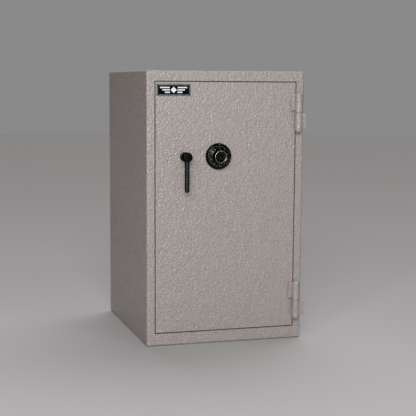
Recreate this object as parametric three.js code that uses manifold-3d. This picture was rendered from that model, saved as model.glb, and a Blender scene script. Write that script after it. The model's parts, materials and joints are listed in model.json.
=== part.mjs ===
// Upright fire-resistant document safe: a concrete-filled steel cabinet with one flush, side-hung door,
// a dial combination lock, and a lever handle that throws three live bolts.
// Millimetres. +X right, +Y to the back, +Z up, origin at the centre of the cabinet's underside.

import * as THREE from "three";
import { mergeVertices } from "three/addons/utils/BufferGeometryUtils.js";
import Module from "manifold-3d";

const wasm = await Module();
wasm.setup();

// ---------------------------------------------------------------- driving dimensions

const WIDTH = 508;
const DEPTH = 565;
const HEIGHT = 850;
const FIT = 0.3; // space left between pieces that touch

const SHEET = 3; // outer jacket and door skin
const JAMB_SHEET = 2.5;
const PAN_SHEET = 2;
const LINER_SHEET = 1.5;
const CORNER_RADIUS = 6;
const BACK_WALL = 70;

// Door opening in the front face, and the steps of the jamb behind it.
const OPENING = { x: 228.8, z0: 38.5, z1: 819.5 };
const STEP_INSETS = [0, 15.8, 33.8, 46.8];
const STEP_DEPTHS = [18.5, 50, 80.5];
const DOOR_GAPS = [3, 5.5, 6.5];
const SKIN_DEPTH = 13;
const PAN_DEPTH = 76;
const LEDGE_DEPTH = 47;
const COVER_SHEET = 2;

const HINGE_X = 232;
const HINGE_REACH = 12.5; // hinge axis in front of the door's face
const HINGE_INSETS = { lower: 85, upper: 93 }; // from the door edge nearest to the hinge, to its split
const BARREL_RADIUS = 12;
const KNUCKLE_LENGTH = 53;
const DOME_HEIGHT = 10;
const LEAF_THICKNESS = 8;
const HINGE_PIN_RADIUS = 6;

const LOCK_LINE = 589.5; // height of the dial's and the handle's axes
const DIAL_X = -27;
const HANDLE_X = -136;

const BOLT_THROW = 18.36;
const BOLT_RADIUS = 9;
const BOLT_DEPTH = 63.5;
const BOLT_HEIGHTS = [170, 429, 688];
const DEAD_BOLT_RADIUS = 6.5;
const DEAD_BOLT_DEPTH = 66.5;
const POCKET_DEPTH = 14;

const CRANK_RADIUS = 16;
const CRANK_ANGLE = THREE.MathUtils.degToRad(35); // pin's rest position, from straight down
const CRANK_PIN_RADIUS = 5;

const SHELF_HEIGHTS = { lower_shelf: 315, upper_shelf: 545 };
const SHELF_SHEET = 1.5;
const ANCHOR_Y = -80;
const ANCHOR_RADIUS = 8;
const ANCHOR_SLEEVE_WALL = 3;

const FRONT = -DEPTH / 2;
const inset = (rect, by) => ({ x: rect.x - by, z0: rect.z0 + by, z1: rect.z1 - by });
const JAMB = STEP_INSETS.map((step) => inset(OPENING, step));
const DOOR = DOOR_GAPS.map((gap, i) => inset(JAMB[i], gap));
const CAVITY = JAMB[3];
const LINER_FRONT = STEP_DEPTHS[2] + JAMB_SHEET + FIT;
const LINER_BACK = DEPTH - BACK_WALL;
const DOOR_EDGE = DOOR[2].x;
const PLATE_BACK = LEDGE_DEPTH - PAN_SHEET - FIT; // rear face of the plate that carries the boltwork
const PLATE_FRONT = PLATE_BACK - 2.3;

// ---------------------------------------------------------------- shapes
// "Depth" in these helpers is the distance behind the cabinet's front face.

function solid(geometry) {
  const bare = geometry.clone();
  bare.deleteAttribute("normal");
  bare.deleteAttribute("uv");
  const whole = mergeVertices(bare, 1e-4);
  const triVerts = new Uint32Array(whole.index.array);
  const vertProperties = new Float32Array(whole.attributes.position.array);
  const made = new wasm.Manifold(new wasm.Mesh({ numProp: 3, vertProperties, triVerts }));
  if (made.volume() > 0) return made;
  for (let i = 0; i < triVerts.length; i += 3) {
    [triVerts[i + 1], triVerts[i + 2]] = [triVerts[i + 2], triVerts[i + 1]];
  }
  return new wasm.Manifold(new wasm.Mesh({ numProp: 3, vertProperties, triVerts }));
}

function block(x0, x1, depth0, depth1, z0, z1) {
  const box = new THREE.BoxGeometry(x1 - x0, depth1 - depth0, z1 - z0);
  return solid(box.translate((x0 + x1) / 2, FRONT + (depth0 + depth1) / 2, (z0 + z1) / 2));
}

const slab = (rect, depth0, depth1) => block(-rect.x, rect.x, depth0, depth1, rect.z0, rect.z1);

function rodX(radius, x0, x1, depth, z, sides = 24) {
  const rod = new THREE.CylinderGeometry(radius, radius, x1 - x0, sides).rotateZ(Math.PI / 2);
  return solid(rod.translate((x0 + x1) / 2, FRONT + depth, z));
}

function rodY(radius, depth0, depth1, x, z, sides = 24) {
  const rod = new THREE.CylinderGeometry(radius, radius, depth1 - depth0, sides);
  return solid(rod.translate(x, FRONT + (depth0 + depth1) / 2, z));
}

function rodZ(radius, z0, z1, x, y, sides = 24) {
  const rod = new THREE.CylinderGeometry(radius, radius, z1 - z0, sides).rotateX(Math.PI / 2);
  return solid(rod.translate(x, y, (z0 + z1) / 2));
}

const closed = (points) => [...points, points[0]].map(([r, h]) => new THREE.Vector2(r, h));

// A turned piece about a front-to-back axis, its closed profile given as [radius, depth].
function turnedY(profile, x, z, sides = 32) {
  const lathe = new THREE.LatheGeometry(closed(profile), sides);
  return solid(lathe.translate(x, FRONT, z));
}

// A turned piece about an upright axis, its closed profile given as [radius, z].
function turnedZ(profile, x, y, sides = 24) {
  const lathe = new THREE.LatheGeometry(closed(profile), sides).rotateX(Math.PI / 2);
  return solid(lathe.translate(x, y, 0));
}

function roundedRect(x0, x1, z0, z1, radius) {
  const shape = new THREE.Shape();
  shape.absarc(x1 - radius, z0 + radius, radius, -Math.PI / 2, 0);
  shape.absarc(x1 - radius, z1 - radius, radius, 0, Math.PI / 2);
  shape.absarc(x0 + radius, z1 - radius, radius, Math.PI / 2, Math.PI);
  shape.absarc(x0 + radius, z0 + radius, radius, Math.PI, 1.5 * Math.PI);
  return shape;
}

// A front-view outline, x across and y up, made into a prism between two depths.
function prism(shape, depth0, depth1, curveSegments = 6) {
  const extruded = new THREE.ExtrudeGeometry(shape, {
    depth: depth1 - depth0,
    bevelEnabled: false,
    curveSegments,
  });
  return solid(extruded.rotateX(Math.PI / 2).translate(0, FRONT + depth1, 0));
}

// ---------------------------------------------------------------- finishes

const finish = (color, roughness, metalness) =>
  new THREE.MeshStandardMaterial({ color, roughness, metalness });

const hammerPaint = finish(0x9e9693, 0.5, 0.1);
const linerPaint = finish(0xb9b4ab, 0.6, 0);
const fireFill = finish(0xc4bfb3, 0.95, 0);
const blackPlastic = finish(0x121212, 0.25, 0);
const blackEnamel = finish(0x18191b, 0.35, 0.2);
const chrome = finish(0xc9ccd0, 0.15, 1);
const zincSteel = finish(0xa7a9ab, 0.4, 1);
const brass = finish(0xb8975a, 0.35, 1);
const sealStrip = finish(0x3a3836, 0.9, 0);
const plateEnamel = finish(0x0b0b0c, 0.3, 0.2);

function piece(name, shape, material) {
  const { vertProperties, triVerts, numProp } = shape.getMesh();
  const geometry = new THREE.BufferGeometry();
  geometry.setAttribute("position", new THREE.BufferAttribute(vertProperties, numProp));
  geometry.setIndex(new THREE.BufferAttribute(triVerts, 1));
  const mesh = new THREE.Mesh(geometry.toNonIndexed(), material);
  mesh.geometry.computeVertexNormals();
  mesh.name = name;
  return mesh;
}

const safe = new THREE.Group();
const door = new THREE.Group();
safe.add(door);

// ---------------------------------------------------------------- cabinet

const JACKET_SHEET_RADIUS = CORNER_RADIUS - SHEET;

function outerJacket() {
  const half = WIDTH / 2;
  const rim = HEIGHT - SHEET;
  const outside = prism(roundedRect(-half, half, 0, HEIGHT, CORNER_RADIUS), 0, DEPTH);
  const hollow = prism(
    roundedRect(-half + SHEET, half - SHEET, SHEET, rim, JACKET_SHEET_RADIUS), SHEET, DEPTH + 1);
  return outside
    .subtract(hollow)
    .subtract(slab(OPENING, -1, SHEET + 1))
    .subtract(rodZ(ANCHOR_RADIUS + FIT, -1, SHEET + 1, 0, ANCHOR_Y));
}

// A block that fills the jacket from side to side, FIT clear of its walls.
function insideJacket(depth0, depth1) {
  const gap = SHEET + FIT;
  const half = WIDTH / 2 - gap;
  const outline = roundedRect(-half, half, gap, HEIGHT - gap, JACKET_SHEET_RADIUS - FIT);
  return prism(outline, depth0, depth1);
}

// Stepped sheet-steel jamb. `grow` swells it, for cutting its seat in the fill.
function jambOutside(grow) {
  const back = STEP_DEPTHS.map((depth) => depth + JAMB_SHEET + grow);
  return [0, 1, 2]
    .map((i) => slab(inset(JAMB[i], -JAMB_SHEET - grow), SHEET, back[i]))
    .reduce((all, step) => all.add(step));
}

const jambInside = () =>
  [0, 1, 2]
    .map((i) => slab(JAMB[i], -1, STEP_DEPTHS[i]))
    .reduce((all, step) => all.add(step), slab(CAVITY, -1, STEP_DEPTHS[2] + 10));

// Boxes welded behind the jamb's rear step, which keep the fill out of the way of the bolts.
const POCKET = { front: 53.8, back: 74.5, half: 11 };
const POCKET_WALL = 1;

const growPocket = (by) => ({
  front: POCKET.front - by,
  back: POCKET.back + by,
  half: POCKET.half + by,
});

function pockets(grow) {
  const wall = POCKET_WALL + grow;
  const reach = JAMB[2].x + POCKET_DEPTH + wall;
  const room = growPocket(wall);
  return BOLT_HEIGHTS.map((z) =>
    block(-reach, -JAMB[2].x - 0.5, room.front, room.back, z - room.half, z + room.half).add(
      block(JAMB[2].x + 0.5, reach, room.front, room.back, z - room.half, z + room.half)))
    .reduce((all, pocket) => all.add(pocket));
}

function pocketHollows() {
  const reach = JAMB[2].x + POCKET_DEPTH;
  const room = growPocket(0);
  return BOLT_HEIGHTS.map((z) =>
    block(-reach, -JAMB[2].x + 1, room.front, room.back, z - room.half, z + room.half).add(
      block(JAMB[2].x - 1, reach, room.front, room.back, z - room.half, z + room.half)))
    .reduce((all, hollow) => all.add(hollow));
}

const doorFrame = () =>
  jambOutside(0)
    .add(pockets(0))
    .subtract(jambInside())
    .subtract(pocketHollows())
    .subtract(slab(inset(OPENING, -40), -1, SHEET + FIT));

const cabinetFill = () =>
  insideJacket(SHEET + FIT, DEPTH - SHEET - 2 * FIT)
    .subtract(jambOutside(FIT))
    .subtract(pockets(FIT))
    .subtract(slab(inset(CAVITY, -LINER_SHEET - FIT), 0, LINER_BACK + LINER_SHEET + FIT))
    .subtract(rodZ(ANCHOR_RADIUS + ANCHOR_SLEEVE_WALL + FIT, -1, CAVITY.z0, 0, ANCHOR_Y));

const innerLiner = () =>
  slab(inset(CAVITY, -LINER_SHEET), LINER_FRONT, LINER_BACK + LINER_SHEET)
    .subtract(slab(CAVITY, 0, LINER_BACK))
    .subtract(rodZ(ANCHOR_RADIUS + FIT, 0, CAVITY.z0 + 1, 0, ANCHOR_Y));

const backPanel = () => insideJacket(DEPTH - SHEET, DEPTH);

const anchorSleeve = () =>
  rodZ(ANCHOR_RADIUS + ANCHOR_SLEEVE_WALL, SHEET + FIT, CAVITY.z0 - LINER_SHEET - FIT, 0, ANCHOR_Y)
    .subtract(rodZ(ANCHOR_RADIUS, 0, CAVITY.z0, 0, ANCHOR_Y));

const PLUG = { length: 14, flangeRadius: 13, flangeTop: 2.5 };

const anchorPlug = () =>
  rodZ(ANCHOR_RADIUS - FIT, CAVITY.z0 - PLUG.length, CAVITY.z0 + 1, 0, ANCHOR_Y)
    .add(rodZ(PLUG.flangeRadius, CAVITY.z0 + FIT, CAVITY.z0 + PLUG.flangeTop, 0, ANCHOR_Y));

safe.add(
  piece("outer_jacket", outerJacket(), hammerPaint),
  piece("back_panel", backPanel(), hammerPaint),
  piece("door_frame", doorFrame(), hammerPaint),
  piece("cabinet_fire_fill", cabinetFill(), fireFill),
  piece("inner_liner", innerLiner(), linerPaint),
  piece("anchor_sleeve", anchorSleeve(), zincSteel),
  piece("anchor_hole_plug", anchorPlug(), blackPlastic),
);

// ---------------------------------------------------------------- shelves

const SHELF_FRONT = 100;
const SHELF_BACK = 470;
const SHELF_LIP = 16;
const SHELF_SIDE_GAP = 2;
const BRACKET_LEG = 20;
const BRACKET_FOOT = 14;
const BRACKET_FRONT = 118;
const BRACKET_BACK = 452;

function shelf(top) {
  const half = CAVITY.x - SHELF_SIDE_GAP;
  const low = top - SHELF_SHEET;
  const hem = SHELF_FRONT + SHELF_SHEET;
  return block(-half, half, SHELF_FRONT, SHELF_BACK, low, top)
    .add(block(-half, half, SHELF_FRONT, hem, top - SHELF_LIP, top))
    .add(block(-half, half, SHELF_BACK - SHELF_SHEET, SHELF_BACK, top - SHELF_LIP, top));
}

function shelfBracket(top, side) {
  const wall = CAVITY.x - FIT;
  const seat = top - SHELF_SHEET - FIT;
  const leg = block(wall - SHELF_SHEET, wall, BRACKET_FRONT, BRACKET_BACK, seat - BRACKET_LEG, seat);
  const foot = block(wall - BRACKET_FOOT, wall, BRACKET_FRONT, BRACKET_BACK, seat - SHELF_SHEET, seat);
  const right = leg.add(foot);
  return side > 0 ? right : right.mirror([1, 0, 0]);
}

for (const [name, top] of Object.entries(SHELF_HEIGHTS)) {
  safe.add(
    piece(name, shelf(top), linerPaint),
    piece(`${name}_bracket_left`, shelfBracket(top, -1), zincSteel),
    piece(`${name}_bracket_right`, shelfBracket(top, 1), zincSteel),
  );
}

// ---------------------------------------------------------------- door

const DIAL_TUBE_RADIUS = 8;
const HANDLE_BUSH_RADIUS = 13;
const DIAL_SPINDLE_RADIUS = 4.3;
const HANDLE_SPINDLE_RADIUS = 8;
const LIP_WIDTH = 14; // lip of the pan that the cover closes against
const COVER_MARGIN = 2.5;
const SEAL = { inset: 2, width: 9.5 };
const BOLT_PLATE_MARGIN = 2;

const spindleHoles = (dialRadius, handleRadius, depth0, depth1) =>
  rodY(dialRadius, depth0, depth1, DIAL_X, LOCK_LINE).add(
    rodY(handleRadius, depth0, depth1, HANDLE_X, LOCK_LINE));

const doorSkin = () =>
  slab(DOOR[0], 0, SKIN_DEPTH)
    .subtract(slab(inset(DOOR[0], SHEET), SHEET, SKIN_DEPTH + 1))
    .subtract(spindleHoles(DIAL_TUBE_RADIUS + FIT, HANDLE_BUSH_RADIUS + FIT, -1, SHEET + 1));

// Stepped pressing behind the skin: flange, side walls, ledge, rear walls, and a lip for the cover.
function doorPan() {
  const lip = inset(DOOR[2], LIP_WIDTH);
  const shell = slab(DOOR[0], SKIN_DEPTH + FIT, SKIN_DEPTH + FIT + PAN_SHEET)
    .add(slab(DOOR[1], SKIN_DEPTH + FIT, LEDGE_DEPTH))
    .add(slab(DOOR[2], LEDGE_DEPTH - 1, PAN_DEPTH))
    .subtract(slab(inset(DOOR[1], PAN_SHEET), 0, LEDGE_DEPTH - PAN_SHEET))
    .subtract(slab(inset(DOOR[2], PAN_SHEET), 0, PAN_DEPTH - PAN_SHEET))
    .subtract(slab(lip, 0, PAN_DEPTH + 1));
  return BOLT_HEIGHTS.reduce((pan, z) =>
    pan
      .subtract(rodX(BOLT_RADIUS + 0.5, -DOOR_EDGE - 1, -DOOR_EDGE + 4, BOLT_DEPTH, z))
      .subtract(rodX(DEAD_BOLT_RADIUS + FIT, DOOR_EDGE - 4, DOOR_EDGE + 1, DEAD_BOLT_DEPTH, z)), shell);
}

const doorFill = () =>
  slab(inset(DOOR[0], SHEET + FIT), SHEET + FIT, SKIN_DEPTH)
    .add(slab(inset(DOOR[1], PAN_SHEET + FIT), SHEET + FIT, PLATE_FRONT - FIT))
    .subtract(spindleHoles(DIAL_TUBE_RADIUS + FIT, HANDLE_BUSH_RADIUS + FIT, 0, PLATE_BACK));

const doorSeal = () => {
  const front = SKIN_DEPTH + PAN_SHEET + 2 * FIT;
  const back = STEP_DEPTHS[0] - FIT;
  const window = inset(DOOR[0], SEAL.inset + SEAL.width);
  return slab(inset(DOOR[0], SEAL.inset), front, back).subtract(slab(window, 0, back + 1));
};

const boltworkPlate = () =>
  slab(inset(DOOR[1], PAN_SHEET + BOLT_PLATE_MARGIN), PLATE_FRONT, PLATE_BACK)
    .subtract(spindleHoles(DIAL_SPINDLE_RADIUS + 1, HANDLE_SPINDLE_RADIUS + 0.5, 0, LEDGE_DEPTH));

const innerCover = () =>
  slab(inset(DOOR[2], COVER_MARGIN), PAN_DEPTH + FIT, PAN_DEPTH + FIT + COVER_SHEET);

const tube = (outer, inner, depth0, depth1, x) =>
  rodY(outer, depth0, depth1, x, LOCK_LINE).subtract(
    rodY(inner, depth0 - 1, depth1 + 1, x, LOCK_LINE));

const PLATE = { left: -223.3, right: -116, bottom: 774, top: 810.5, corner: 3, thickness: 1.4 };

const nameplate = () =>
  prism(
    roundedRect(PLATE.left, PLATE.right, PLATE.bottom, PLATE.top, PLATE.corner),
    -FIT - PLATE.thickness, -FIT);

door.add(
  piece("door_skin", doorSkin(), hammerPaint),
  piece("door_pan", doorPan(), hammerPaint),
  piece("door_fire_fill", doorFill(), fireFill),
  piece("door_seal", doorSeal(), sealStrip),
  piece("boltwork_plate", boltworkPlate(), zincSteel),
  piece("door_inner_cover", innerCover(), linerPaint),
  piece("nameplate", nameplate(), plateEnamel),
  piece("dial_spindle_tube",
    tube(DIAL_TUBE_RADIUS, DIAL_SPINDLE_RADIUS + 1, 0, PLATE_FRONT - FIT, DIAL_X), brass),
  piece("handle_bush",
    tube(HANDLE_BUSH_RADIUS, HANDLE_SPINDLE_RADIUS + FIT, 0, PLATE_FRONT - FIT, HANDLE_X), brass),
);

const DEAD_BOLT_TAIL = 22; // length inside the door
const DEAD_BOLT_REACH = 11.5; // length inside the jamb's pocket

const deadBolt = (z) =>
  rodX(DEAD_BOLT_RADIUS, DOOR_EDGE - DEAD_BOLT_TAIL, JAMB[2].x + DEAD_BOLT_REACH, DEAD_BOLT_DEPTH, z);

const DEAD_BOLT_NAMES = ["dead_bolt_lower", "dead_bolt_middle", "dead_bolt_upper"];
DEAD_BOLT_NAMES.forEach((name, i) => door.add(piece(name, deadBolt(BOLT_HEIGHTS[i]), zincSteel)));

// ---------------------------------------------------------------- hinges
// Each half is modelled about the hinge axis, with z = 0 at the split between the knuckles.

const PIN_HALF_LENGTH = 38;
const PIN_BORE_RADIUS = HINGE_PIN_RADIUS + 0.25;
const WASHER = { radius: BARREL_RADIUS - 0.6, half: 1 };
const DOOR_LEAF = { edge: -22.5, bottom: 6, top: 56, edgeRadius: 3 };
const FRAME_LEAF = { reach: 46, bottom: -51, top: -5, bendRadius: 4 };

// One knuckle with a domed outer end and a blind bore for the pin. `up` is +1 or -1.
function knuckle(up) {
  const steps = 4;
  const dome = Array.from({ length: steps }, (_, i) => {
    const angle = ((i + 1) / steps) * (Math.PI / 2);
    return [BARREL_RADIUS * Math.cos(angle), up * (KNUCKLE_LENGTH + DOME_HEIGHT * Math.sin(angle))];
  });
  dome[steps - 1][0] = 0;
  const end = up * (WASHER.half + FIT);
  return turnedZ([
    [0, up * (PIN_HALF_LENGTH + 2)], [PIN_BORE_RADIUS, up * (PIN_HALF_LENGTH + 1)],
    [PIN_BORE_RADIUS, end], [BARREL_RADIUS, end], [BARREL_RADIUS, up * KNUCKLE_LENGTH], ...dome,
  ], 0, 0);
}

function leaf(shape, z0, z1) {
  const plate = new THREE.ExtrudeGeometry(shape, {
    depth: z1 - z0,
    bevelEnabled: false,
    curveSegments: 5,
  });
  const clearance = rodZ(BARREL_RADIUS - 1, z0 - 1, z1 + 1, 0, 0);
  return solid(plate.translate(0, 0, z0)).subtract(clearance);
}

const LEAF_FRONT = HINGE_REACH - FIT - LEAF_THICKNESS;
const LEAF_REAR = HINGE_REACH - FIT;

// The door's leaf is flat; its free edge is rounded over.
function doorLeaf() {
  const { edge, edgeRadius } = DOOR_LEAF;
  const shape = new THREE.Shape();
  shape.moveTo(0, LEAF_REAR);
  shape.lineTo(edge, LEAF_REAR);
  shape.lineTo(edge, LEAF_FRONT + edgeRadius);
  shape.absarc(edge + edgeRadius, LEAF_FRONT + edgeRadius, edgeRadius, Math.PI, 1.5 * Math.PI);
  shape.lineTo(0, LEAF_FRONT);
  return leaf(shape, DOOR_LEAF.bottom, DOOR_LEAF.top);
}

// The cabinet's leaf is bent round the corner on to the cabinet's side.
function frameLeaf() {
  const side = WIDTH / 2 - HINGE_X + FIT;
  const outer = side + LEAF_THICKNESS - FIT;
  const back = HINGE_REACH + FRAME_LEAF.reach;
  const bend = FRAME_LEAF.bendRadius;
  const shape = new THREE.Shape();
  shape.moveTo(0, LEAF_FRONT);
  shape.lineTo(outer - bend, LEAF_FRONT);
  shape.absarc(outer - bend, LEAF_FRONT + bend, bend, -Math.PI / 2, 0);
  shape.lineTo(outer, back);
  shape.lineTo(side, back);
  shape.lineTo(side, LEAF_REAR);
  shape.lineTo(0, LEAF_REAR);
  return leaf(shape, FRAME_LEAF.bottom, FRAME_LEAF.top);
}

const hingePin = () => rodZ(HINGE_PIN_RADIUS, -PIN_HALF_LENGTH, PIN_HALF_LENGTH, 0, 0);
const hingeWasher = () =>
  rodZ(WASHER.radius, -WASHER.half, WASHER.half, 0, 0).subtract(rodZ(PIN_BORE_RADIUS, -2, 2, 0, 0));

const HINGE_HEIGHTS = {
  lower_hinge: DOOR[0].z0 + HINGE_INSETS.lower,
  upper_hinge: DOOR[0].z1 - HINGE_INSETS.upper,
};
for (const [name, z] of Object.entries(HINGE_HEIGHTS)) {
  const fixed = new THREE.Group();
  const swinging = new THREE.Group();
  fixed.position.set(HINGE_X, FRONT - HINGE_REACH, z);
  swinging.position.copy(fixed.position);
  fixed.add(
    piece(`${name}_frame_leaf`, knuckle(-1).add(frameLeaf()), hammerPaint),
    piece(`${name}_pin`, hingePin(), zincSteel),
    piece(`${name}_washer`, hingeWasher(), brass),
  );
  swinging.add(piece(`${name}_door_leaf`, knuckle(1).add(doorLeaf()), hammerPaint));
  safe.add(fixed);
  door.add(swinging);
}

// ---------------------------------------------------------------- lever handle and its crank

const handle = new THREE.Group();
door.add(handle);

const LEVER_REACH = 36; // lever axis in front of the door's face
const LEVER_RADIUS = 7.3;
const LEVER_LENGTH = 108;
const LEVER_ROOT = 8; // top of the lever, below the hub's axis
const CRANK_DEPTH = 50;
const CRANK_THICKNESS = 5;
const ARM_DEPTH = 57; // front face of the carrier's arms
const ARM_THICKNESS = 4;

const handleRose = () =>
  turnedY([
    [8.6, -FIT], [14, -FIT], [14, -4], [13.2, -6], [11.6, -7.8], [8.6, -7.8],
  ], HANDLE_X, LOCK_LINE);

const handleHub = () =>
  turnedY([
    [0, -25.3], [8.3, -25.3], [8.3, -8.3], [11.2, -8.3], [11.4, -20], [13.8, -23.5], [15.2, -27],
    [15.2, -43], [14.2, -45.6], [11.8, -47], [0, -47.5],
  ], HANDLE_X, LOCK_LINE)
    .subtract(rodZ(LEVER_RADIUS + FIT, LOCK_LINE - 30, LOCK_LINE - LEVER_ROOT + FIT,
      HANDLE_X, FRONT - LEVER_REACH));

function handleLever() {
  const tip = LOCK_LINE - LEVER_LENGTH;
  const steps = 5;
  const dome = Array.from({ length: steps }, (_, i) => {
    const angle = ((i + 1) / steps) * (Math.PI / 2);
    return [LEVER_RADIUS * Math.cos(angle), tip + LEVER_RADIUS * (1 - Math.sin(angle))];
  });
  dome[steps - 1][0] = 0;
  const root = LOCK_LINE - LEVER_ROOT;
  return turnedZ([
    [0, root], [LEVER_RADIUS, root], [LEVER_RADIUS, tip + LEVER_RADIUS], ...dome,
  ], HANDLE_X, FRONT - LEVER_REACH);
}

const handleSpindle = () =>
  rodY(HANDLE_SPINDLE_RADIUS, -25, CRANK_DEPTH + CRANK_THICKNESS + 1, HANDLE_X, LOCK_LINE);

const CRANK_PIN = {
  x: HANDLE_X + CRANK_RADIUS * Math.sin(CRANK_ANGLE),
  z: LOCK_LINE - CRANK_RADIUS * Math.cos(CRANK_ANGLE),
};

const CRANK_BOSS_RADIUS = 14;
const CRANK_EYE_RADIUS = 8;

function handleCrank() {
  const back = CRANK_DEPTH + CRANK_THICKNESS;
  const boss = rodY(CRANK_BOSS_RADIUS, CRANK_DEPTH, back, HANDLE_X, LOCK_LINE);
  const eye = rodY(CRANK_EYE_RADIUS, CRANK_DEPTH, back, CRANK_PIN.x, CRANK_PIN.z);
  return boss
    .add(eye)
    .add(rodY(CRANK_PIN_RADIUS, back - 1, ARM_DEPTH + ARM_THICKNESS + 3, CRANK_PIN.x, CRANK_PIN.z))
    .subtract(rodY(HANDLE_SPINDLE_RADIUS + FIT, 0, back + 1, HANDLE_X, LOCK_LINE));
}

door.add(piece("handle_rose", handleRose(), blackPlastic));
handle.add(
  piece("handle_hub", handleHub(), blackEnamel),
  piece("handle_lever", handleLever(), blackEnamel),
  piece("handle_spindle", handleSpindle(), zincSteel),
  piece("handle_crank", handleCrank(), zincSteel),
);

// ---------------------------------------------------------------- bolt carrier and live bolts
// Drawn back: the bolts' ends are flush with the door's edge.

const carrier = new THREE.Group();
door.add(carrier);

const BAR = { left: -158, right: -150, front: 54, back: 72, bottom: 150, top: 708 };
const LOCK_BOLT_HALF = 5;
const LUG = { left: DIAL_X + LOCK_BOLT_HALF + 1.2, width: 6, bottom: 635 };
const BLOCKING_ARM = { bottom: 652, top: 668, end: LUG.left + LUG.width };
const GUIDE_ARM = { bottom: 250, top: 268, end: -96 };
const CRANK_SLOT = {
  half: CRANK_PIN_RADIUS + 0.6,
  bottom: LOCK_LINE - CRANK_RADIUS - CRANK_PIN_RADIUS - 1.5,
  height: 17,
};
const CRANK_ARM = { bottom: CRANK_SLOT.bottom - 9, top: CRANK_SLOT.bottom + 26, end: -106 };
const STUD_RADIUS = 4;
const STUD_HEAD_RADIUS = 7;
const STUDS = {
  guide_stud_lower: { x: -128, z: 259 },
  guide_stud_upper: { x: -110, z: 660 },
};

const arm = (end, z0, z1) =>
  block(BAR.right - 1, end, ARM_DEPTH, ARM_DEPTH + ARM_THICKNESS, z0, z1);

// Slot that slides left over a fixed stud as the bolts are thrown.
const studSlot = ({ x, z }) =>
  block(x - STUD_RADIUS - 0.6, x + STUD_RADIUS + BOLT_THROW + 0.6, ARM_DEPTH - 1,
    ARM_DEPTH + ARM_THICKNESS + 1, z - STUD_RADIUS - 0.4, z + STUD_RADIUS + 0.4);

function boltCarrier() {
  const { half, bottom, height } = CRANK_SLOT;
  const crankSlot = block(CRANK_PIN.x - half, CRANK_PIN.x + half,
    ARM_DEPTH - 1, ARM_DEPTH + ARM_THICKNESS + 1, bottom, bottom + height);
  const bar = block(BAR.left, BAR.right, BAR.front, BAR.back, BAR.bottom, BAR.top);
  const lug = block(LUG.left, LUG.left + LUG.width, ARM_DEPTH, ARM_DEPTH + ARM_THICKNESS,
    LUG.bottom, BLOCKING_ARM.bottom + 1);
  return bar
    .add(arm(CRANK_ARM.end, CRANK_ARM.bottom, CRANK_ARM.top))
    .add(arm(GUIDE_ARM.end, GUIDE_ARM.bottom, GUIDE_ARM.top))
    .add(arm(BLOCKING_ARM.end, BLOCKING_ARM.bottom, BLOCKING_ARM.top))
    .add(lug)
    .subtract(crankSlot)
    .subtract(studSlot(STUDS.guide_stud_lower))
    .subtract(studSlot(STUDS.guide_stud_upper));
}

const liveBolt = (z) => rodX(BOLT_RADIUS, -DOOR_EDGE, BAR.left - FIT, BOLT_DEPTH, z);

carrier.add(piece("bolt_carrier", boltCarrier(), zincSteel));
const LIVE_BOLT_NAMES = ["live_bolt_lower", "live_bolt_middle", "live_bolt_upper"];
LIVE_BOLT_NAMES.forEach((name, i) => carrier.add(piece(name, liveBolt(BOLT_HEIGHTS[i]), chrome)));

const guideStud = ({ x, z }) =>
  rodY(STUD_RADIUS, PLATE_BACK + FIT, ARM_DEPTH + ARM_THICKNESS + 1, x, z).add(
    rodY(STUD_HEAD_RADIUS, ARM_DEPTH + ARM_THICKNESS + FIT, ARM_DEPTH + ARM_THICKNESS + 3, x, z));
for (const [name, place] of Object.entries(STUDS)) {
  door.add(piece(name, guideStud(place), brass));
}

// ---------------------------------------------------------------- dial

const dial = new THREE.Group();
door.add(dial);
const CAM_DEPTH = 63;
const CAM_THICKNESS = 4;
const CAM_RADIUS = 20;
const CAM_NOTCH = { width: 6, angle: 1.2 };

const dialRing = () =>
  turnedY([
    [8.6, -FIT], [40.5, -FIT], [40.5, -7], [39.4, -10.4], [37, -13], [34.6, -13.6], [34.6, -3], [8.6, -3],
  ], DIAL_X, LOCK_LINE, 40);

const dialSkirt = () =>
  turnedY([
    [DIAL_SPINDLE_RADIUS + FIT, -4], [33.8, -4], [33.8, -11.5], [33, -12.4],
    [23.5, -18.4], [DIAL_SPINDLE_RADIUS + FIT, -18.4],
  ], DIAL_X, LOCK_LINE, 40);

const dialKnob = () =>
  turnedY([
    [0, -27.3], [DIAL_SPINDLE_RADIUS + FIT, -27.3], [DIAL_SPINDLE_RADIUS + FIT, -18.7], [20.2, -18.7],
    [20.2, -29.4], [19.4, -30.5], [16.8, -30.5], [16.8, -32.1], [12.8, -30.5], [0, -31.2],
  ], DIAL_X, LOCK_LINE);

const dialTrimRing = () =>
  turnedY([
    [17.1, -30.8], [19.2, -30.8], [19.2, -31.9], [18.5, -32.8], [17.1, -32.5],
  ], DIAL_X, LOCK_LINE);

const dialSpindle = () =>
  rodY(DIAL_SPINDLE_RADIUS, -27, CAM_DEPTH + CAM_THICKNESS + 0.5, DIAL_X, LOCK_LINE);

// A disc with a square notch in its rim, turned to `angle` from straight up.
function notchedDisc(radius, bore, depth, thickness, notch, angle) {
  const x = DIAL_X + radius * Math.sin(angle);
  const z = LOCK_LINE + radius * Math.cos(angle);
  const cut = new THREE.BoxGeometry(notch, thickness + 2, notch * 2).rotateY(angle);
  return rodY(radius, depth, depth + thickness, DIAL_X, LOCK_LINE, 36)
    .subtract(rodY(bore, depth - 1, depth + thickness + 1, DIAL_X, LOCK_LINE))
    .subtract(solid(cut.translate(x, FRONT + depth + thickness / 2, z)));
}

door.add(piece("dial_ring", dialRing(), blackPlastic));
dial.add(
  piece("dial_skirt", dialSkirt(), blackPlastic),
  piece("dial_knob", dialKnob(), blackPlastic),
  piece("dial_trim_ring", dialTrimRing(), chrome),
  piece("dial_spindle", dialSpindle(), zincSteel),
  piece("drive_cam",
    notchedDisc(CAM_RADIUS, DIAL_SPINDLE_RADIUS + FIT, CAM_DEPTH, CAM_THICKNESS,
      CAM_NOTCH.width, CAM_NOTCH.angle), brass),
);

// ---------------------------------------------------------------- combination lock

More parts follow.
